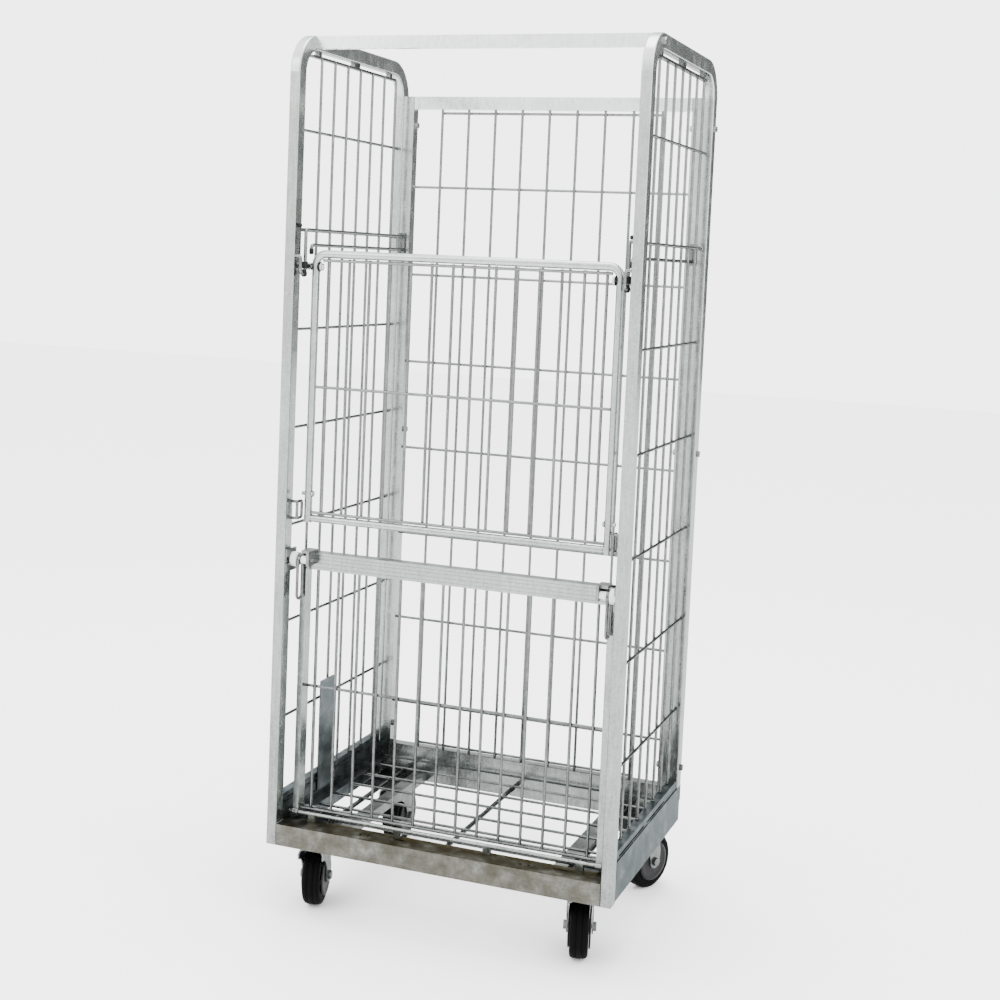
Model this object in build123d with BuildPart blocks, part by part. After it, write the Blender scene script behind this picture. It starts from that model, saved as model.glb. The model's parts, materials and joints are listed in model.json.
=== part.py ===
from build123d import *

import os

os.makedirs("parts", exist_ok=True)

# Overall sizes, in millimetres. The origin is on the floor, in the middle of the plan.
cage_width = 740
cage_depth = 530
cage_height = 1650
base_height = 150
wheel_radius = 62.5
caster_trail = 36
caster_inset_x = 78
caster_inset_y = 63

# Tubes, wires and play between pieces.
post_width = 22
post_depth = 30
wall = 2
frame_bend = 65
wire = 3
rod = 3.5
bolt = 4
play = 0.3

side_rows = [259 + 200 * i for i in range(7)]
side_columns = [105 + 60.3 * i for i in range(7)]
rear_rows = [177 + 199.5 * i for i in range(7)]
rear_pitch = 64
rear_bolt_heights = [122, 817, 1513]
base_rail_height = 44
sill_depth = 54

# Upper gate: a framed half gate that hangs from two pins in side tracks.
gate_side = 52
gate_tube = 8
gate_top = 1213
gate_bottom = 677
gate_y = 39
pin_height = 1187
peg_height = 727
upper_pitch = 44.7
track_x = 34
upper_track = 1260
lower_track = 1230
track_end = 467

# Lower gate: hinged along the sill and held by a shaft at each top corner.
hinge_y = 50
hinge_height = 58
stile_x = (35, 47)
lower_y = (48, 75)
lower_top = (570, 605)
lower_pitch = 46.2
shaft_y = 31
shaft_height = 591.5
tab_places = [80, 273, 467, 660]

overall_depth = cage_depth - caster_inset_y + caster_trail + wheel_radius
front = -overall_depth / 2


def across(distance):
    """X at a distance from the left outer face."""
    return distance - cage_width / 2


def behind(distance):
    """Y at a distance behind the front face."""
    return front + distance


def above(height):
    """Z at a height over the underside of the base frame."""
    return base_height + height


def block(x, y, z, mode=Mode.ADD):
    """A box between low and high distances."""
    middle = (across(sum(x) / 2), behind(sum(y) / 2), above(sum(z) / 2))
    with Locations(middle):
        Box(x[1] - x[0], y[1] - y[0], z[1] - z[0], mode=mode)


def tube(x, y, z, axis, thickness=wall):
    """A box tube that is open at both ends of its axis."""
    spans = {"x": x, "y": y, "z": z}
    block(x, y, z)
    for name in spans:
        if name != axis:
            low, high = spans[name]
            spans[name] = (low + thickness, high - thickness)
    block(spans["x"], spans["y"], spans["z"], Mode.SUBTRACT)


def round_x(x, y, z, radius, mode=Mode.ADD):
    """A round bar along X."""
    middle = Location((across(sum(x) / 2), behind(y), above(z)), (0, 90, 0))
    with Locations(middle):
        Cylinder(radius, x[1] - x[0], mode=mode)


def round_y(x, y, z, radius, mode=Mode.ADD):
    """A round bar along Y."""
    middle = Location((across(x), behind(sum(y) / 2), above(z)), (90, 0, 0))
    with Locations(middle):
        Cylinder(radius, y[1] - y[0], mode=mode)


def round_z(x, y, z, radius, mode=Mode.ADD):
    """A round bar along Z."""
    with Locations((across(x), behind(y), above(sum(z) / 2))):
        Cylinder(radius, z[1] - z[0], mode=mode)


def hexagon_x(x, y, z, radius):
    """A hexagon nut or bolt head along X."""
    with BuildSketch(Plane.YZ.offset(across(x[0]))) as outline:
        with Locations((behind(y), above(z))):
            RegularPolygon(radius, 6)
    extrude(outline.sketch, amount=x[1] - x[0])


def bent_rod(points, radius, bend):
    """A round rod along straight runs joined by arcs."""
    route = [(across(x), behind(y), above(z)) for x, y, z in points]
    with BuildLine() as path:
        FilletPolyline(*route, radius=bend)
    with BuildSketch(Plane(path.line @ 0, z_dir=path.line % 0)) as section:
        Circle(radius)
    sweep(section.sketch, path=path.line)


def write(piece, name):
    """Labels a finished piece and writes it."""
    piece.part.label = name
    export_step(piece.part, "parts/" + name + ".step")


def write_turned(piece, name, x, y, angle):
    """Turns a piece about an upright line, labels it and writes it."""
    turned = piece.part.rotate(Axis((across(x), behind(y), 0), (0, 0, 1)), angle)
    turned.label = name
    export_step(turned, "parts/" + name + ".step")


def write_pair(piece, name):
    """Writes a left piece and its mirrored twin on the right."""
    write(piece, "left_" + name)
    with BuildPart() as twin:
        mirror(piece.part, about=Plane.YZ)
    write(twin, "right_" + name)


# Side frame: one bent box tube per side.
post_middle = post_depth / 2
rear_middle = cage_depth - post_depth / 2
rail_middle = cage_height - post_depth / 2
rear_foot = 79.3
crossbar_bolt = (72.5, 1634.6)

with BuildPart() as side_frame:
    with BuildLine() as frame_path:
        FilletPolyline(
            (across(post_width / 2), behind(post_middle), above(0)),
            (across(post_width / 2), behind(post_middle), above(rail_middle)),
            (across(post_width / 2), behind(rear_middle), above(rail_middle)),
            (across(post_width / 2), behind(rear_middle), above(rear_foot)),
            radius=frame_bend,
        )
    with BuildSketch(Plane(frame_path.line @ 0, z_dir=(0, 0, 1))) as frame_section:
        RectangleRounded(post_width, post_depth, 3)
        RectangleRounded(post_width - 2 * wall, post_depth - 2 * wall, 1, mode=Mode.SUBTRACT)
    sweep(path=frame_path.line)
    for height in rear_bolt_heights:
        round_x((-1, post_width + 1), 518, height, bolt + play, Mode.SUBTRACT)
    round_x((-1, post_width + 1), *crossbar_bolt, bolt + play, Mode.SUBTRACT)
write_pair(side_frame, "side_frame")

# Side mesh: crossing welded wires under a slotted edge strip.
with BuildPart() as side_mesh:
    for height in side_rows:
        round_y(11, (post_depth, cage_depth - post_depth), height, wire)
    for place in side_columns:
        round_z(16, place, (98, 1608), wire)
    block((8, 18), (66, 464), (1606, 1611))
    for low, high in ((88, 100), (252, 278), (430, 442)):
        block((8, 18), (low, high), (1611, 1620))
write_pair(side_mesh, "side_mesh")

# Bottom rail of the side panel, with the slotted strip that the wires stand on.
with BuildPart() as bottom_rail:
    tube((0, post_width), (post_depth, cage_depth), (45.3, 79), "y")
    block((2, 20), (post_depth, 500), (79, 98))
    for low, high in ((50, 229), (252, 393)):
        block((1, 21), (low, high), (82.5, 87), Mode.SUBTRACT)
    block((post_width, 25), (58, 497), (58, 60))
write_pair(bottom_rail, "bottom_rail")

# Base side rail: a box tube with an inward ledge for the floor.
with BuildPart() as base_side_rail:
    tube((1.5, post_width), (post_depth, cage_depth), (0, 45), "y")
    block((post_width, 44), (sill_depth + 0.5, 499.5), (41, 44))
write_pair(base_side_rail, "base_rail")

# Base front rail: a folded channel with drilled holes and slots in its sill.
rail_ends = (post_width, cage_width - post_width)
hole_pairs = (209.5, 555.5)
hole_spacing = 16.5
slot_places = (284, 627)

with BuildPart() as base_front_rail:
    block(rail_ends, (0, 2.5), (0, base_rail_height))
    block(rail_ends, (0, sill_depth), (41.5, base_rail_height))
    block(rail_ends, (0, 25), (0, 2.5))
    block(rail_ends, (sill_depth - 2.5, sill_depth), (24, base_rail_height))
    for place in hole_pairs:
        for side in (-0.5, 0.5):
            round_z(place + side * hole_spacing, 26, (40, 46), 3, Mode.SUBTRACT)
    for place in slot_places:
        with BuildSketch(Plane.XY.offset(above(40))) as slot:
            with Locations((across(place), behind(34))):
                SlotOverall(30, 5)
        extrude(amount=6, mode=Mode.SUBTRACT)
write(base_front_rail, "base_front_rail")

with BuildPart() as base_rear_rail:
    tube(rail_ends, (500, cage_depth), (0, base_rail_height), "x")
write(base_rear_rail, "base_rear_rail")

# Floor: wires across the base on three bars from front to back.
with BuildPart() as floor_mesh:
    for row in range(6):
        round_x((24, cage_width - 24), 88 + 74 * row, 38, wire)
    for place in (100, 370, 640):
        round_y(place, (sill_depth, 500), 30.5, 5)
write(floor_mesh, "floor_mesh")

with BuildPart() as floor_members:
    for place in (134, 606):
        block((place - 14, place + 14), (sill_depth + 1, 499), (5, 25.2))
write(floor_members, "floor_members")

# Corner plates between the base frame and the casters.
with BuildPart() as corner_plates:
    for x in ((26, 140), (600, 714)):
        for y in ((27, 215), (400, 499)):
            block(x, y, (0, 4))
    for x in (caster_inset_x, cage_width - caster_inset_x):
        for y in (caster_inset_y, cage_depth - caster_inset_y):
            round_z(x, y, (-1, 5), 14, Mode.SUBTRACT)
write(corner_plates, "corner_plates")

# Post to post at the top of the front.
with BuildPart() as crossbar:
    tube(rail_ends, (65, 80), (1623, 1648), "x", 1.5)
write(crossbar, "crossbar")

with BuildPart() as crossbar_bolts:
    for x, low, high in ((0, -5, 30), (cage_width, -30, 5)):
        round_x((x + low, x + high), *crossbar_bolt, bolt)
    hexagon_x((-5, 0), *crossbar_bolt, 7)
    hexagon_x((cage_width, cage_width + 5), *crossbar_bolt, 7)
write(crossbar_bolts, "crossbar_bolts")

# Rear panel: two stiles, two bars and a welded mesh, bolted to the rear posts.
with BuildPart() as rear_stile:
    tube((post_width, 47), (503, 528), (48, 1577), "z")
    for height in rear_bolt_heights:
        round_x((post_width - 1, 48), 518, height, bolt + play, Mode.SUBTRACT)
write_pair(rear_stile, "rear_stile")

bar_ends = (47, cage_width - 47)
with BuildPart() as rear_top_bar:
    tube(bar_ends, (503, 528), (1549, 1577), "x")
write(rear_top_bar, "rear_top_bar")

with BuildPart() as rear_bottom_bar:
    tube(bar_ends, (503, 528), (48, 79), "x")
write(rear_bottom_bar, "rear_bottom_bar")

with BuildPart() as rear_mesh:
    for height in rear_rows:
        round_x(bar_ends, 518, height, wire)
    for column in range(-4, 5):
        round_z(cage_width / 2 + column * rear_pitch, 513, (79, 1549), wire)
    for height in (86, 1541):
        round_x((112, 628), 518, height, wire)
write(rear_mesh, "rear_mesh")

with BuildPart() as rear_panel_bolts:
    for height in rear_bolt_heights:
        for shank, head, nut in (
            ((-5, 54), (-5, 0), (47, 53)),
            ((cage_width - 54, cage_width + 5), (cage_width, cage_width + 5), (687, 693)),
        ):
            round_x(shank, 518, height, bolt)
            hexagon_x(head, 518, height, 7)
            hexagon_x(nut, 518, height, 7)
write(rear_panel_bolts, "rear_panel_bolts")

# Upright plate that stands inside the left panel.
with BuildPart() as upright_plate:
    block((22.3, 25), (178, 240), (60.3, 300))
write(upright_plate, "left_upright_plate")

# Track: an upper rod with a front hook, a lower rod, a link and a rear bracket.
rear_face = cage_depth - post_depth
rod_end = rear_face - 3
hook_bottom = 1172.5
with BuildPart() as track:
    bent_rod(
        [
            (track_x, rod_end, upper_track),
            (track_x, 25, upper_track),
            (track_x, 25, hook_bottom),
            (track_x, 6, hook_bottom),
            (track_x, 6, 1207),
            (post_width, 6, 1207),
        ],
        rod,
        [5, 9.4, 9.4, 6],
    )
    round_z(track_x, track_end, (lower_track + rod, upper_track), rod - 0.5)
    block((post_width, track_x), (24, post_depth), (1257, 1263))
    block((post_width, 38), (rod_end - 0.5, rear_face + 2.7), (1222, 1268))
    round_y(track_x, (490, rod_end), lower_track, rod + 0.1, Mode.SUBTRACT)
write_pair(track, "track")

with BuildPart() as guide_rods:
    for x in (track_x, cage_width - track_x):
        bent_rod([(x, 51, 1214), (x, 51, lower_track), (x, rod_end - 0.5, lower_track)], rod, 6)
write(guide_rods, "guide_rods")

# Keeper loops for the lower corners of the upper gate.
with BuildPart() as gate_keepers:
    for side, x in ((1, 36), (-1, cage_width - 36)):
        face = x - side * (36 - post_width)
        corners = [(x, 21, 711), (x, 41, 711), (x, 41, 677), (x, 21, 677)]
        bent_rod([(face, 21, 711)] + corners + [(face, 21, 677)], wire, 5)
        round_z(x, 21, (677, 711), wire)
write(gate_keepers, "gate_keepers")

# Receiver plates for the shaft ends, each with a slot that is open to the front.
with BuildPart() as latch_receivers:
    for x in ((post_width, 25), (cage_width - 25, cage_width - post_width)):
        block(x, (4, 46), (568, 614))
        block(x, (4, 38), (shaft_height - 7, shaft_height + 7), Mode.SUBTRACT)
write(latch_receivers, "latch_receivers")

# Hinge rod of the lower gate, on four tabs that stand on the sill.
with BuildPart() as hinge_rod:
    round_x((26, cage_width - 26), hinge_y, hinge_height, bolt)
    for place in tab_places:
        block((place - 8, place + 8), (45.5, sill_depth), (base_rail_height, hinge_height))
write(hinge_rod, "hinge_rod")

# Upper gate frame: a bent round tube with a straight bar between its feet.
gate_sides = (gate_side, cage_width - gate_side)
with BuildPart() as upper_gate_frame:
    round_x(gate_sides, gate_y, gate_bottom, gate_tube - 0.7)
    with BuildLine() as gate_path:
        FilletPolyline(
            (across(gate_sides[0]), behind(gate_y), above(gate_bottom - gate_tube)),
            (across(gate_sides[0]), behind(gate_y), above(gate_top)),
            (across(gate_sides[1]), behind(gate_y), above(gate_top)),
            (across(gate_sides[1]), behind(gate_y), above(gate_bottom - gate_tube)),
            radius=22,
        )
    with BuildSketch(Plane(gate_path.line @ 0, z_dir=(0, 0, 1))) as gate_section:
        Circle(gate_tube)
        Circle(gate_tube - 1.5, mode=Mode.SUBTRACT)
    sweep(path=gate_path.line)
    for height in (pin_height, peg_height):
        round_x((30, cage_width - 30), gate_y, height, bolt + 0.1, Mode.SUBTRACT)
write(upper_gate_frame, "upper_gate_frame")

# Upper gate mesh: fourteen upright wires welded to three cross wires.
with BuildPart() as upper_gate_mesh:
    for height, inset in ((689, 60), (945, 60), (1200, 68)):
        round_x((inset, cage_width - inset), gate_y, height, wire)
    for column in range(14):
        place = cage_width / 2 + (column - 6.5) * upper_pitch
        round_z(place, gate_y + 5, (687, 1204), wire)
write(upper_gate_mesh, "upper_gate_mesh")

# Pins that carry the upper gate, with a washer head outside and a nut inside.
roller = (30.3, 43.4)
with BuildPart() as upper_gate_pins:
    for flip in (False, True):
        spans = [(28, 67), (28, 30), (61, 67)]
        if flip:
            spans = [(cage_width - high, cage_width - low) for low, high in spans]
        round_x(spans[0], gate_y, pin_height, bolt)
        round_x(spans[1], gate_y, pin_height, 6.5)
        hexagon_x(spans[2], gate_y, pin_height, 8)
write(upper_gate_pins, "upper_gate_pins")

with BuildPart() as upper_gate_pegs:
    for flip in (False, True):
        spans = [(38.2, 64), (60, 63)]
        if flip:
            spans = [(cage_width - high, cage_width - low) for low, high in spans]
        round_x(spans[0], gate_y, peg_height, bolt)
        round_x(spans[1], gate_y, peg_height, 6)
write(upper_gate_pegs, "upper_gate_pegs")

with BuildPart() as gate_rollers:
    for x in (roller, (cage_width - roller[1], cage_width - roller[0])):
        round_x(x, gate_y, pin_height, 7.5)
        round_x(x, gate_y, pin_height, bolt + 0.1, Mode.SUBTRACT)
write(gate_rollers, "gate_rollers")

# Sleeves that ride on the long legs of the hooks.
with BuildPart() as gate_buffers:
    for x in (track_x, cage_width - track_x):
        round_z(x, 25, (1182.3, 1196.3), 6)
        round_z(x, 25, (1182.3, 1196.3), rod + 0.1, Mode.SUBTRACT)
write(gate_buffers, "gate_buffers")

# Lower gate frame: two stiles with hinge barrels at their feet, and a foot bar.
barrel = 7
with BuildPart() as lower_gate_frame:
    for x in (stile_x, (cage_width - stile_x[1], cage_width - stile_x[0])):
        tube(x, lower_y, (70, lower_top[1]), "z")
        block(x, lower_y, (50, 70))
        round_x(x, hinge_y, hinge_height, barrel)
    block((stile_x[1] - 1, cage_width - stile_x[1] + 1), (64.2, 72), (60, 68))
    round_x((30, cage_width - 30), hinge_y, hinge_height, bolt + 0.1, Mode.SUBTRACT)
write(lower_gate_frame, "lower_gate_frame")

# Top rail of the lower gate: a box tube with long grooves in its front.
rail_x = (stile_x[1], cage_width - stile_x[1])
with BuildPart() as lower_gate_rail:
    tube(rail_x, lower_y, lower_top, "x", 2.5)
    for height in (577, 585, 593, 600):
        block(rail_x, (lower_y[0], lower_y[0] + 1.2), (height - 1.2, height + 1.2), Mode.SUBTRACT)
write(lower_gate_rail, "lower_gate_rail")

with BuildPart() as lower_gate_mesh:
    round_x(rail_x, 66, 323, wire)
    for column in range(14):
        place = cage_width / 2 + (column - 6.5) * lower_pitch
        round_z(place, 61, (66, lower_top[0]), wire)
    round_x(rail_x, 58, 66, wire)
write(lower_gate_mesh, "lower_gate_mesh")

# Latch at each top corner: shaft, bushes, bracket and a drop handle.
def latch_ends(low, high):
    """The same span along X at both top corners."""
    return ((low, high), (cage_width - high, cage_width - low))


bore = 4.6
with BuildPart() as latch_shafts:
    for x in latch_ends(22.6, 70):
        round_x(x, shaft_y, shaft_height, 4.5)
write(latch_shafts, "latch_shafts")

with BuildPart() as latch_bushes:
    for x in latch_ends(25.6, 38):
        round_x(x, shaft_y, shaft_height, 15)
    for x in latch_ends(46.5, 59.7):
        round_x(x, shaft_y, shaft_height, 8)
    round_x((20, cage_width - 20), shaft_y, shaft_height, bore, Mode.SUBTRACT)
write(latch_bushes, "latch_bushes")

with BuildPart() as latch_brackets:
    for front_plate, strap in zip(latch_ends(60, 66), latch_ends(45, 67)):
        block(front_plate, (21, 48), (581, 611))
        block(strap, (30, 62), (605, 611))
    round_x((20, cage_width - 20), shaft_y, shaft_height, bore, Mode.SUBTRACT)
write(latch_brackets, "latch_brackets")

with BuildPart() as latch_handle:
    bent_rod(
        [(42, 20.5, shaft_height), (42, 20.5, 511), (42, 41.5, 511), (42, 41.5, shaft_height)],
        wire,
        10.4,
    )
    round_x((38.4, 45.6), shaft_y, shaft_height, 10)
    round_x((38, 46), shaft_y, shaft_height, bore, Mode.SUBTRACT)
write_pair(latch_handle, "latch_handle")

# Casters: heights are measured from the underside of the base.
caster_x = (caster_inset_x, cage_width - caster_inset_x)
caster_y = (caster_inset_y, cage_depth - caster_inset_y)
axle_height = wheel_radius - base_height
caster_bolt = (29, 24)
caster_turns = {"front_left": 14, "front_right": 16, "rear_left": 0, "rear_right": -25}
tyre_half = 19
fork_half = 27

with BuildPart() as caster_plates:
    for x in caster_x:
        for y in caster_y:
            block((x - 36, x + 36), (y - 31, y + 31), (-4, 0))
            round_z(x, y, (-12, -4), 26)
            round_z(x, y, (-13, 1), 6.1, Mode.SUBTRACT)
            for side_x in (-1, 1):
                for side_y in (-1, 1):
                    place = (x + side_x * caster_bolt[0], y + side_y * caster_bolt[1])
                    round_z(*place, (-5, 1), bolt + play, Mode.SUBTRACT)
write(caster_plates, "caster_plates")

with BuildPart() as caster_bolts:
    for x in caster_x:
        for y in caster_y:
            for side_x in (-1, 1):
                for side_y in (-1, 1):
                    place = (x + side_x * caster_bolt[0], y + side_y * caster_bolt[1])
                    round_z(*place, (-8, 0), bolt)
                    round_z(*place, (-8, -4), 6)
write(caster_bolts, "caster_bolts")


def caster(name, x, y):
    """Fork, axle, hub and tyre of one swivel caster."""
    wheel_y = y + caster_trail
    angle = caster_turns[name]
    inner_half = fork_half - 3
    with BuildPart() as fork:
        arch_start = (across(x), behind(y - 26), above(0))
        with BuildSketch(Plane(arch_start, x_dir=(1, 0, 0), z_dir=(0, 1, 0))) as arch:
            with Locations((0, 72.5)):
                RectangleRounded(2 * fork_half, 120, 14)
            with Locations((0, 75.5)):
                RectangleRounded(2 * inner_half, 120, 11, mode=Mode.SUBTRACT)
        extrude(arch.sketch, amount=80)
        side_start = (across(x - 30), behind(y), above(0))
        with BuildSketch(Plane(side_start, x_dir=(0, 1, 0), z_dir=(1, 0, 0))) as side:
            with BuildLine():
                Line((-25, -12), (30, -12))
                ThreePointArc((30, -12), (50, -48), (51, axle_height))
                ThreePointArc((51, axle_height), (36, axle_height - 15), (21, axle_height))
                ThreePointArc((21, axle_height), (10, -56), (-25, -36))
                Line((-25, -36), (-25, -12))
            make_face()
        extrude(side.sketch, amount=60, mode=Mode.INTERSECT)
        round_z(x, y, (-15, -12.3), 24)
        round_z(x, y, (-12.3, 3), 6)
        round_x((x - 30, x + 30), wheel_y, axle_height, 5.1, Mode.SUBTRACT)
    write_turned(fork, name + "_fork", x, y, angle)
    with BuildPart() as axle:
        round_x((x - 33, x + 33), wheel_y, axle_height, 5)
        hexagon_x((x - 33, x - fork_half), wheel_y, axle_height, 9)
        hexagon_x((x + fork_half, x + 33), wheel_y, axle_height, 9)
    write_turned(axle, name + "_axle", x, y, angle)
    with BuildPart() as hub:
        round_x((x - 23, x + 23), wheel_y, axle_height, 14)
        round_x((x - 16, x + 16), wheel_y, axle_height, 44)
        for span in ((x - 17, x - 9), (x + 9, x + 17)):
            round_x(span, wheel_y, axle_height, 38, Mode.SUBTRACT)
            round_x(span, wheel_y, axle_height, 14)
        round_x((x - 24, x + 24), wheel_y, axle_height, 5.1, Mode.SUBTRACT)
    write_turned(hub, name + "_hub", x, y, angle)
    with BuildPart() as tyre:
        round_x((x - tyre_half, x + tyre_half), wheel_y, axle_height, wheel_radius)
        fillet(tyre.edges().filter_by(GeomType.CIRCLE), 7)
        round_x((x - 20, x + 20), wheel_y, axle_height, 44, Mode.SUBTRACT)
        for groove in (-6, 6):
            span = (x + groove - 1, x + groove + 1)
            round_x(span, wheel_y, axle_height, 70, Mode.SUBTRACT)
            round_x(span, wheel_y, axle_height, 60.5)
            round_x(span, wheel_y, axle_height, 44, Mode.SUBTRACT)
    write_turned(tyre, name + "_tyre", x, y, angle)


for end, y in zip(("front", "rear"), caster_y):
    for hand, x in zip(("left", "right"), caster_x):
        caster(end + "_" + hand, x, y)
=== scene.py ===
import json
import math
import random

import bmesh
import bpy
from mathutils import Matrix, Vector


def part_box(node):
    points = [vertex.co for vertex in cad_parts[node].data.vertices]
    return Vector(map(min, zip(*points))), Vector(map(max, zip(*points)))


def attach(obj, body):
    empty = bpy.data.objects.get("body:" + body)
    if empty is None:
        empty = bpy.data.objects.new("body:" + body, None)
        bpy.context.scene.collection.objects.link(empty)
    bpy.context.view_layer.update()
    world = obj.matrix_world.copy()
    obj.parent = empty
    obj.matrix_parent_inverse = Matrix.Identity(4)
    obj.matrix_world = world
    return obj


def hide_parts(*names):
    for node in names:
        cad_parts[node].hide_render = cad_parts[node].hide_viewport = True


random.seed(4)
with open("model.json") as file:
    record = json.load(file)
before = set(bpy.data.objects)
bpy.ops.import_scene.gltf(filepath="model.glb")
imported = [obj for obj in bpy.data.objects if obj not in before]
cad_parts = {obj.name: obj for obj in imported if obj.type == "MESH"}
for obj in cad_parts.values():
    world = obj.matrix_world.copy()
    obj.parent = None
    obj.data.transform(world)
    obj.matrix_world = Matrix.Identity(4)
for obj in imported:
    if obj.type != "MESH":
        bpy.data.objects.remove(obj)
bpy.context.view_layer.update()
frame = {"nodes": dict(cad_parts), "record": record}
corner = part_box("left_side_frame")[0]  # outer left, front, underside of the base
cageWidth = 740
sides = ((1, 0), (-1, cageWidth))  # direction inwards and outer face, left then right
print("frame loaded:", len(frame["nodes"]), "parts")


def at(x, y, z):
    return corner + Vector((x, y, z)) / 1000  # millimetres from the corner


def bothSides(x):
    return x, cageWidth - x


class Wire:
    # a socket that can be added, multiplied and so on
    def __init__(self, recipe, socket):
        self.recipe = recipe
        self.socket = socket

    def math(self, operation, left, right):
        return self.recipe.add("Math", {"operation": operation}, {0: left, 1: right})

    def __add__(self, other):
        return self.math("ADD", self, other)

    def __radd__(self, other):
        return self.math("ADD", other, self)

    def __sub__(self, other):
        return self.math("SUBTRACT", self, other)

    def __rsub__(self, other):
        return self.math("SUBTRACT", other, self)

    def __mul__(self, other):
        return self.math("MULTIPLY", self, other)

    def __rmul__(self, other):
        return self.math("MULTIPLY", other, self)

    def __pow__(self, other):
        return self.math("POWER", self, other)

    def __rpow__(self, other):
        return self.math("POWER", other, self)


class Recipe:
    # the nodes of one material, or of the sky
    def __init__(self, owner):
        owner.use_nodes = True
        self.owner = owner
        self.tree = owner.node_tree

    def plug(self, socket, value):
        if isinstance(value, Wire):
            self.tree.links.new(value.socket, socket)
        else:
            socket.default_value = value

    def add(self, kind, settings, inputs, output=0):
        node = self.tree.nodes.new("ShaderNode" + kind)
        for key, value in settings.items():
            if key == "stops":
                for stop, (place, colour) in zip(node.color_ramp.elements, value):
                    stop.position = place
                    stop.color = colour
            else:
                setattr(node, key, value)
        for key, value in inputs.items():
            self.plug(node.inputs[key], value)
        return Wire(self, node.outputs[output])

    def mix(self, factor, first, second):
        return self.add("Mix", {"data_type": "RGBA"}, {0: factor, 6: first, 7: second}, 2)

    def finish(self, **sockets):
        shader = self.tree.nodes["Principled BSDF"]
        for name, value in sockets.items():
            self.plug(shader.inputs[name.replace("_", " ")], value)
        return self.owner


def coordinates(recipe, stretch=(1, 1, 1)):
    place = recipe.add("TexCoord", {}, {}, "Object")
    return recipe.add("Mapping", {}, {"Vector": place, "Scale": stretch})


def noise(recipe, place, scale, detail, rough):
    inputs = {"Vector": place, "Scale": scale, "Detail": detail, "Roughness": rough}
    return recipe.add("TexNoise", {}, inputs)


# rim darkens the metal where it is seen edge-on
zincLooks = {
    "tube": {
        "dark": (0.095, 0.107, 0.101, 1), "light": (0.44, 0.47, 0.45, 1),
        "rim": (0.62, 0.64, 0.63, 1), "rough": 0.2, "stretch": (9, 9, 1),
    },
    "flat": {
        "dark": (0.045, 0.052, 0.055, 1), "light": (0.16, 0.178, 0.182, 1),
        "rim": (0.40, 0.415, 0.42, 1), "rough": 0.32, "stretch": (1, 4, 4),
    },
    "warm": {
        "dark": (0.040, 0.037, 0.029, 1), "light": (0.10, 0.094, 0.074, 1),
        "rim": (0.40, 0.38, 0.33, 1), "rough": 0.30, "stretch": (1, 6, 9),
    },
    "wire": {
        "dark": (0.030, 0.034, 0.033, 1), "light": (0.19, 0.20, 0.197, 1),
        "rim": (0.45, 0.46, 0.455, 1), "rough": 0.22, "stretch": (4, 4, 4),
    },
    "forged": {
        "dark": (0.06, 0.065, 0.063, 1), "light": (0.30, 0.31, 0.305, 1),
        "rim": (0.6, 0.61, 0.6, 1), "rough": 0.32, "stretch": (3, 3, 3),
    },
    "bright": {
        "dark": (0.30, 0.32, 0.31, 1), "light": (0.80, 0.84, 0.82, 1),
        "rim": (1, 1, 1, 1), "rough": 0.22, "stretch": (9, 2, 2),
    },
}
paintedTopLight = {"perMetre": 0.25, "level": 0.235}  # painted light: lighter towards the top and darker near the wheels, standing in for light falling from above
# each noise is scale, detail, roughness
zincPattern = {
    "drawn": (22, 4, 0.6), "cloud": (7, 3, 0.55), "grain": (900, 2, 0.5), "smudge": (31, 5, 0.65),
    "smudgePower": 4.0, "spangle": 160, "level": 0.17, "ramp": (0.22, 0.78),
    "chalk": (0.42, 0.44, 0.43, 1), "chalkShare": 0.9, "bump": 0.12, "bumpDepth": 0.0006,
}


def zincPlate(name, look):
    recipe = Recipe(bpy.data.materials.new(name))
    place = coordinates(recipe)
    drawn = noise(recipe, coordinates(recipe, look["stretch"]), *zincPattern["drawn"])
    cloud = noise(recipe, place, *zincPattern["cloud"])
    cells = {"Vector": place, "Scale": zincPattern["spangle"]}
    spangle = recipe.add("TexVoronoi", {"feature": "F1"}, cells)
    grain = noise(recipe, place, *zincPattern["grain"])
    smudge = noise(recipe, place, *zincPattern["smudge"]) ** zincPattern["smudgePower"]
    # painted light: the zinc colour lightens with height above the floor, standing in for light from above,
    # and is added to the random tone
    paintedHeightLight = recipe.add("SeparateXYZ", {}, {"Vector": place}, 2) * paintedTopLight["perMetre"] - paintedTopLight["level"]
    toneAndPaintedLight = zincPattern["level"] + drawn * 0.3 + cloud * 0.25 + spangle * 0.12 + paintedHeightLight
    low, high = zincPattern["ramp"]
    stops = [(low, look["dark"]), (high, look["light"])]
    colour = recipe.add("ValToRGB", {"stops": stops}, {"Fac": toneAndPaintedLight})
    chalky = recipe.mix(smudge * zincPattern["chalkShare"], colour, zincPattern["chalk"])
    height = spangle * 0.35 + grain * 0.35 + drawn * 0.5
    relief = {"Strength": zincPattern["bump"], "Distance": zincPattern["bumpDepth"], "Height": height}
    return recipe.finish(
        Base_Color=chalky,
        Roughness=look["rough"] - 0.08 + drawn * 0.14 + smudge * 0.5,
        Metallic=1.0 - smudge * 0.6,
        Normal=recipe.add("Bump", {}, relief),
        Specular_Tint=look["rim"],
    )


rubberLook = {
    "clean": (0.0016, 0.0017, 0.0017, 1), "dusty": (0.006, 0.0059, 0.0054, 1),
    "dust": (45, 5, 0.7), "dustPower": 2.2, "grain": (700, 3, 0.6),
    "rough": 0.5, "gloss": 0.02, "bump": 0.25, "bumpDepth": 0.0005,
}


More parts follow.
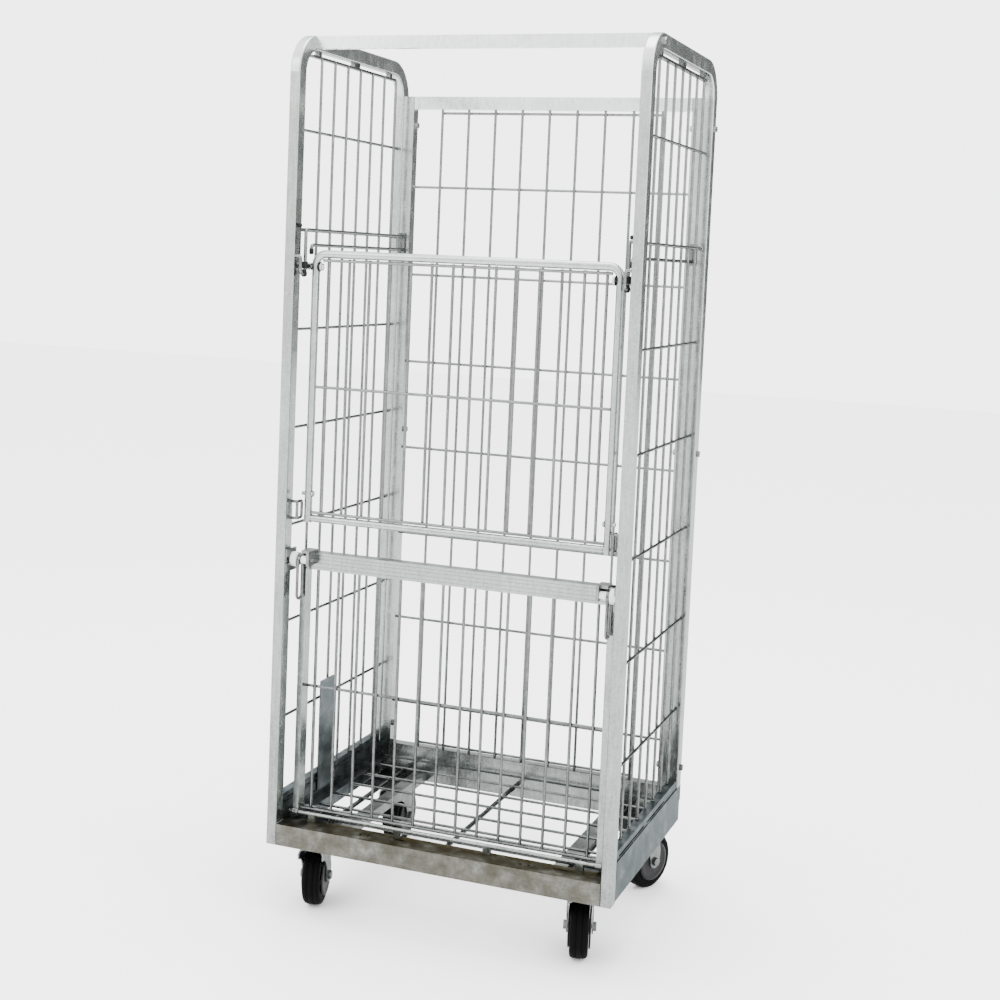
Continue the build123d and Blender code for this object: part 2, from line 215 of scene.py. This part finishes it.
def tyreRubber(look):
    recipe = Recipe(bpy.data.materials.new("tyreRubber"))
    place = coordinates(recipe)
    dust = noise(recipe, place, *look["dust"]) ** look["dustPower"]
    grain = noise(recipe, place, *look["grain"])
    relief = {"Strength": look["bump"], "Distance": look["bumpDepth"], "Height": grain + dust * 0.6}
    return recipe.finish(
        Base_Color=recipe.mix(dust * 0.5, look["clean"], look["dusty"]),
        Roughness=look["rough"] + dust * 0.4,
        Specular_IOR_Level=look["gloss"],
        Normal=recipe.add("Bump", {}, relief),
    )


plasticLooks = {
    "dark": {
        "name": "darkPlastic", "deep": (0.004, 0.004, 0.005, 1), "pale": (0.012, 0.012, 0.013, 1),
        "rough": 0.42, "gloss": 0.12,
    },
    "nylon": {
        "name": "whiteNylon", "deep": (0.55, 0.57, 0.55, 1), "pale": (0.68, 0.69, 0.67, 1),
        "rough": 0.38, "gloss": 0.5,
    },
}
plasticPattern = {"cloud": (60, 4, 0.6), "grain": (1100, 2, 0.5), "bump": 0.15, "bumpDepth": 0.0003}


def mouldedPlastic(look):
    recipe = Recipe(bpy.data.materials.new(look["name"]))
    place = coordinates(recipe)
    cloud = noise(recipe, place, *plasticPattern["cloud"])
    grain = noise(recipe, place, *plasticPattern["grain"])
    relief = {"Strength": plasticPattern["bump"], "Distance": plasticPattern["bumpDepth"], "Height": grain}
    return recipe.finish(
        Base_Color=recipe.mix(cloud, look["deep"], look["pale"]),
        Roughness=look["rough"] + cloud * 0.15,
        Normal=recipe.add("Bump", {}, relief),
        Specular_IOR_Level=look["gloss"],
    )


finishes = {key: zincPlate("zinc" + key.capitalize(), look) for key, look in zincLooks.items()}
finishes["rubber"] = tyreRubber(rubberLook)
for key, look in plasticLooks.items():
    finishes[key] = mouldedPlastic(look)

# the finish of every part by a word in its name, first match wins
finishWords = [
    ("tyre", "rubber"), ("hub", "dark"), ("buffers", "dark"), ("bushes", "nylon"),
    ("fork", "forged"), ("axle", "forged"), ("bolts", "forged"), ("caster", "forged"),
    ("base_front_rail", "warm"), ("crossbar", "bright"), ("rear_top_bar", "bright"),
    ("mesh", "wire"), ("track", "wire"), ("rods", "wire"), ("keepers", "wire"), ("handle", "wire"),
    ("base_rear_rail", "tube"), ("base", "flat"), ("bottom_rail", "flat"), ("plate", "flat"),
    ("members", "forged"), ("brackets", "forged"), ("receivers", "forged"),
]


def finishFor(name):
    for word, key in finishWords:
        if word in name:
            return finishes[key]
    return finishes["tube"]


for name, part in frame["nodes"].items():
    part.data.materials.clear()
    part.data.materials.append(finishFor(name))
print("finishes on", len(frame["nodes"]), "parts")


def makePiece(name, bm, body, finish, smooth=True):
    mesh = bpy.data.meshes.new(name)
    bmesh.ops.recalc_face_normals(bm, faces=bm.faces)
    bm.to_mesh(mesh)
    bm.free()
    if smooth:
        mesh.shade_smooth()
    mesh.materials.append(finishes[finish])
    piece = bpy.data.objects.new(name, mesh)
    bpy.context.scene.collection.objects.link(piece)
    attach(piece, body)
    return piece


def weldBeads(name, body, spots, size, shape=(1, 1, 1)):
    # one lumpy bead at each spot
    bm = bmesh.new()
    for spot in spots:
        radius = size / 1000 * random.uniform(0.85, 1.15)
        turn = Matrix.Rotation(random.uniform(-0.3, 0.3), 4, random.choice("XYZ"))
        matrix = Matrix.Translation(spot) @ turn @ Matrix.Diagonal((*shape, 1))
        bmesh.ops.create_icosphere(bm, subdivisions=2, radius=radius, matrix=matrix)
    makePiece(name, bm, body, "wire")


# side panels: beads where wires cross, at the ends of the rows and at the feet of the columns
sideWelds = {
    "rows": [259 + 200 * i for i in range(7)], "columns": [105 + 60.3 * i for i in range(7)],
    "crossing": 13.5, "bead": 3.3,
    "endPlane": 11, "ends": (31, 499), "endBead": 4.6, "endShape": (1, 0.6, 1),
    "footPlane": 16, "foot": 99, "footBead": 3.8, "footShape": (1, 1, 0.6),
}
for index, hand in enumerate(("left", "right")):
    place = bothSides(sideWelds["crossing"])[index]
    crossings = [at(place, y, z) for y in sideWelds["columns"] for z in sideWelds["rows"]]
    weldBeads(hand + "SideWelds", "cage", crossings, sideWelds["bead"])
    place = bothSides(sideWelds["endPlane"])[index]
    ends = [at(place, y, z) for y in sideWelds["ends"] for z in sideWelds["rows"]]
    weldBeads(hand + "EndWelds", "cage", ends, sideWelds["endBead"], sideWelds["endShape"])
    place = bothSides(sideWelds["footPlane"])[index]
    feet = [at(place, y, sideWelds["foot"]) for y in sideWelds["columns"]]
    weldBeads(hand + "FootWelds", "cage", feet, sideWelds["footBead"], sideWelds["footShape"])

middle = cageWidth / 2
rearWelds = {
    "rows": [177 + 199.5 * i for i in range(7)], "edgeRows": [86, 1541], "pitch": 64,
    "crossing": 515.5, "end": 48, "endPlane": 518, "bead": 3.6,
}
rearSpots = [
    at(middle + column * rearWelds["pitch"], rearWelds["crossing"], z)
    for column in range(-4, 5)
    for z in rearWelds["rows"] + rearWelds["edgeRows"]
]
rearSpots += [
    at(x, rearWelds["endPlane"], z) for x in bothSides(rearWelds["end"]) for z in rearWelds["rows"]
]
weldBeads("rearWelds", "cage", rearSpots, rearWelds["bead"])

# gates: the body, the pitch of the columns, and the rows as distance back and height
gateWelds = {
    "upperGateWelds": ("upper_gate", 44.7, [(41.5, 689), (41.5, 945), (41.5, 1200)]),
    "lowerGateWelds": ("lower_gate", 46.2, [(63.5, 323), (60, 66)]),
}
gateColumns = 14
gateBead = 3.3
for name, (body, pitch, rows) in gateWelds.items():
    first = middle - pitch * (gateColumns - 1) / 2
    spots = [at(first + column * pitch, y, z) for column in range(gateColumns) for y, z in rows]
    weldBeads(name, body, spots, gateBead)

floorWelds = {"bars": (100, 370, 640), "rows": [88 + 74 * i for i in range(6)], "height": 35.5, "bead": 3.8}
floorSpots = [at(x, y, floorWelds["height"]) for x in floorWelds["bars"] for y in floorWelds["rows"]]
weldBeads("floorWelds", "cage", floorSpots, floorWelds["bead"])
print("welds on the meshes")


def drop(bm, spot, radius):
    matrix = Matrix.Translation(spot)
    bmesh.ops.create_icosphere(bm, subdivisions=1, radius=radius, matrix=matrix)


def seam(bm, start, end, size, step=2.6):
    # overlapping drops along a short line
    count = max(2, int((end - start).length * 1000 / step))
    for i in range(count + 1):
        drop(bm, start.lerp(end, i / count), size / 1000 * random.uniform(0.85, 1.2))


# each seam is its start and end, as distance back and height, and the size of its drops
frameSeams = [
    (
        bothSides(22.4),
        [((1.2, 3), (1.2, 42), 1.1), ((3, 44.2), (29, 44.2), 1.3), ((66, 1622.6), (79, 1622.6), 1.2)],
    ),
    (bothSides(47.3), [((502.8, 1550), (502.8, 1576), 1.2), ((502.8, 50), (502.8, 78), 1.2)]),
    ((72, 88, 265, 281, 459, 475, 652, 668), [((46, 44.4), (53, 44.4), 1.1)]),
]
bm = bmesh.new()
for places, lines in frameSeams:
    for x in places:
        for start, end, size in lines:
            seam(bm, at(x, *start), at(x, *end), size)
makePiece("frameSeams", bm, "cage", "wire")

gateSeams = {"x": 60.3, "y": 39, "z": 677, "radius": 7.4, "drops": 12, "drop": 0.0012}
bm = bmesh.new()
for x in bothSides(gateSeams["x"]):
    for step in range(gateSeams["drops"]):
        angle = math.tau * step / gateSeams["drops"]
        y = gateSeams["y"] + gateSeams["radius"] * math.cos(angle)
        z = gateSeams["z"] + gateSeams["radius"] * math.sin(angle)
        drop(bm, at(x, y, z), gateSeams["drop"])
makePiece("upperGateSeams", bm, "upper_gate", "wire")
print("seams")


def turned(bm, outline, centre, axis, steps, closed=True):
    # an outline of (distance along the axis, radius), spun round the axis
    side = axis.orthogonal().normalized()
    points = [bm.verts.new(centre + (axis * along + side * radius) / 1000) for along, radius in outline]
    pairs = list(zip(points, points[1:] + points[:1] if closed else points[1:]))
    edges = [bm.edges.new(pair) for pair in pairs]
    bmesh.ops.spin(
        bm, geom=points + edges, cent=centre, axis=axis, angle=math.tau, steps=steps, use_merge=True
    )
    bmesh.ops.remove_doubles(bm, verts=bm.verts, dist=0.00001)


# caster wheels: half a tyre with a rounded crown and a groove, a guard and the swivel cup's rim
wheelTrim = {
    "shoulder": [(16.6, 44), (18, 46), (18.6, 49), (18.6, 54), (17.6, 57.6), (15.4, 60.2), (12, 61.6)],
    "groove": [(7.2, 62.1), (6.8, 60.7), (5.2, 60.7), (4.8, 62.3)],
    "tyreSteps": 96,
    "guard": [
        (19, 6.2), (19, 40), (19.9, 43), (21.6, 43.4), (22.8, 41),
        (23.2, 36), (22.2, 33), (22.4, 17), (23.4, 14), (23.4, 6.2),
    ],
    "guardSteps": 48,
    "cup": [(-12.2, 20), (-12.2, 26.2), (-11, 27.4), (-8.5, 27.6), (-7.2, 26.4), (-7.2, 20)],
    "cupSteps": 40,
}
joints = {joint["name"]: joint for joint in frame["record"]["behaviour"]["joints"]}
upright = Vector((0, 0, 1))
halfTyre = wheelTrim["shoulder"] + wheelTrim["groove"]
tyreOutline = [(-along, radius) for along, radius in halfTyre] + halfTyre[::-1]

for name in ("front_left", "front_right", "rear_left", "rear_right"):
    spot = Vector(joints[name + "_roll"]["pos_m"])
    axle = Vector(joints[name + "_roll"]["axis"])
    bm = bmesh.new()
    turned(bm, tyreOutline, spot, axle, wheelTrim["tyreSteps"])
    tyre = makePiece(name + "_treadTyre", bm, name + "_wheel", "rubber")
    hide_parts(name + "_tyre")
    # dark thread guards between the tyre and the fork
    bm = bmesh.new()
    for side in (-1, 1):
        guard = [(side * along, radius) for along, radius in wheelTrim["guard"]]
        turned(bm, guard, spot, axle, wheelTrim["guardSteps"])
    makePiece(name + "_threadGuards", bm, name + "_wheel", "dark")
    # rolled rim of the swivel cup under the plate
    swivel = Vector(joints[name + "_swivel"]["pos_m"])
    bm = bmesh.new()
    turned(bm, wheelTrim["cup"], Vector((swivel.x, swivel.y, corner.z)), upright, wheelTrim["cupSteps"])
    makePiece(name + "_cupRim", bm, "cage", "forged")
print("casters")


# small turned trim round the hooks: place from the outer face, front and base underside
hookTrim = {
    "bulb": {
        "outline": [(-7, 0), (-6.6, 3), (-5, 5.2), (-1.5, 6.3), (3, 6), (6.5, 4.6), (8.5, 3.9), (8.5, 0)],
        "place": (34, 22, 1172.5), "level": False, "steps": 24, "closed": False,
    },
    "knob": {
        "outline": [(-4.5, 0), (-4.2, 2.6), (-2.6, 4.2), (1.2, 4.4), (3.4, 3.2), (4.4, 1.4), (4.6, 0)],
        "place": (26.5, 13, 1268), "level": True, "steps": 20, "closed": False,
    },
    "tip": {
        "outline": [(-3, 0), (-2.8, 3), (-1.4, 4.7), (4, 4.8), (8, 4.4), (9, 3.6), (9, 0)],
        "place": (34, 51, 1214), "level": False, "steps": 24, "closed": False,
    },
    "pinEnd": {
        "outline": [(-0.8, 0), (1.2, 0.6), (0.9, 3.6), (-0.6, 5), (-0.8, 4.8)],
        "place": (67.4, 39, 1187), "level": True, "steps": 20, "closed": False,
    },
    "washer": {
        "outline": [(0.1, 5), (0.1, 9.4), (1.2, 10), (2.2, 9.2), (2.2, 5)],
        "place": (60, 39, 1187), "level": True, "steps": 28, "closed": True,
    },
}


def hookPiece(name, trims, body, finish):
    bm = bmesh.new()
    for inwards, face in sides:
        for trim in (hookTrim[key] for key in trims):
            x, y, z = trim["place"]
            axis = Vector((inwards, 0, 0)) if trim["level"] else upright
            centre = at(face + inwards * x, y, z)
            turned(bm, trim["outline"], centre, axis, trim["steps"], trim["closed"])
    makePiece(name, bm, body, finish)


hookPiece("hookMouldings", ("bulb", "knob", "tip"), "cage", "dark")
hookPiece("pinEnds", ("pinEnd",), "upper_gate", "nylon")
hookPiece("pinWashers", ("washer",), "upper_gate", "dark")
print("hook trim")


def bevelledBlocks(name, block, body, finish):
    # one small block on each side
    bm = bmesh.new()
    x, y, z = block["place"]
    scale = Matrix.Diagonal((*(length / 1000 for length in block["size"]), 1))
    for place in bothSides(x):
        made = bmesh.ops.create_cube(bm, size=1, matrix=Matrix.Translation(at(place, y, z)) @ scale)
        edges = list({e for v in made["verts"] for e in v.link_edges})
        offset = block["bevel"] / 1000
        bmesh.ops.bevel(
            bm, geom=edges, offset=offset, segments=2, profile=0.5, affect="EDGES", material=-1
        )
    makePiece(name, bm, body, finish, smooth=False)


# plugs in the open feet of the front posts
postPlug = {"place": (11, 15, 2.2), "size": (17.5, 25.5, 3.5), "bevel": 0.9}
bevelledBlocks("postPlugs", postPlug, "cage", "dark")
# small square stubs above the gate pins
gateStub = {"place": (62.5, 39, 1207), "size": (8, 7, 9), "bevel": 1}
bevelledBlocks("gateStubs", gateStub, "upper_gate", "forged")
print("plugs and stubs")


stage = {
    "floor": 14, "tone": (0.93, 0.93, 0.93, 1), "rough": 0.9,
    "backdrop": 4.4, "open": 2.7, "ceiling": 2.6, "ceilingFrom": 0.1, "ceilingTo": 0.9,
    "flat": 0.4, "flatSide": (0.42, 0.9, 0), "flatFrom": 0.45, "flatTo": 0.95,
}
bm = bmesh.new()
bmesh.ops.create_grid(bm, x_segments=1, y_segments=1, size=stage["floor"])
floorMesh = bpy.data.meshes.new("studioFloor")
bm.to_mesh(floorMesh)
bm.free()
floor = bpy.data.objects.new("studioFloor", floorMesh)
bpy.context.scene.collection.objects.link(floor)
paper = Recipe(bpy.data.materials.new("studioPaper"))
floorMesh.materials.append(paper.finish(Base_Color=stage["tone"], Roughness=stage["rough"]))

world = bpy.data.worlds.new("studioSky")
bpy.context.scene.world = world
sky = Recipe(world)


def fade(value, start, end, first, last):
    inputs = {0: value, 1: start, 2: end, 3: first, 4: last}
    return sky.add("MapRange", {"interpolation_type": "SMOOTHSTEP"}, inputs)


# a grey flat stands behind the set to the right and the ceiling is the brightest part
heading = sky.add("TexCoord", {}, {}, "Generated")
upwards = sky.add("SeparateXYZ", {}, {"Vector": heading}, 2)
flatSide = {0: heading, 1: stage["flatSide"]}
towardsFlat = sky.add("VectorMath", {"operation": "DOT_PRODUCT"}, flatSide, "Value")
walls = fade(towardsFlat, stage["flatFrom"], stage["flatTo"], stage["open"], stage["flat"])
ceiling = fade(upwards, stage["ceilingFrom"], stage["ceilingTo"], 0.0, stage["ceiling"])
# the camera itself sees one even backdrop
seen = sky.add("LightPath", {}, {}, "Is Camera Ray")
background = sky.tree.nodes["Background"]
background.inputs["Color"].default_value = (1, 1, 1, 1)
sky.plug(background.inputs["Strength"], seen * stage["backdrop"] + (1 - seen) * (walls + ceiling))

lamps = {
    "keyBox": {"place": (-2.6, -3.2, 3.4), "size": (2.2, 2.2), "power": 60},
    "sideBox": {"place": (3.4, -1.0, 2.4), "size": (1.4, 2.6), "power": 35},
    "topBox": {"place": (0, 0.2, 4.6), "size": (2.4, 2.4), "power": 150},
}
lampAim = Vector((0, 0, 0.9))
for name, lamp in lamps.items():
    data = bpy.data.lights.new(name, "AREA")
    data.shape = "RECTANGLE"
    data.size, data.size_y = lamp["size"]
    data.energy = lamp["power"]
    light = bpy.data.objects.new(name, data)
    light.location = lamp["place"]
    light.rotation_euler = (lampAim - Vector(lamp["place"])).to_track_quat("-Z", "Y").to_euler()
    bpy.context.scene.collection.objects.link(light)

view = {
    "place": (1.133, -3.054, 1.366), "turn": (85.265, -2.486, 20.381),
    "focal": 56.1, "sensor": 36, "shift": (-0.0066, -0.1105),
}
cameraData = bpy.data.cameras.new("viewCamera")
cameraData.lens = view["focal"]
cameraData.sensor_width = view["sensor"]
cameraData.shift_x, cameraData.shift_y = view["shift"]
camera = bpy.data.objects.new("viewCamera", cameraData)
camera.location = view["place"]
camera.rotation_euler = [math.radians(angle) for angle in view["turn"]]
bpy.context.scene.collection.objects.link(camera)
bpy.context.scene.camera = camera
print("stage, light and camera")
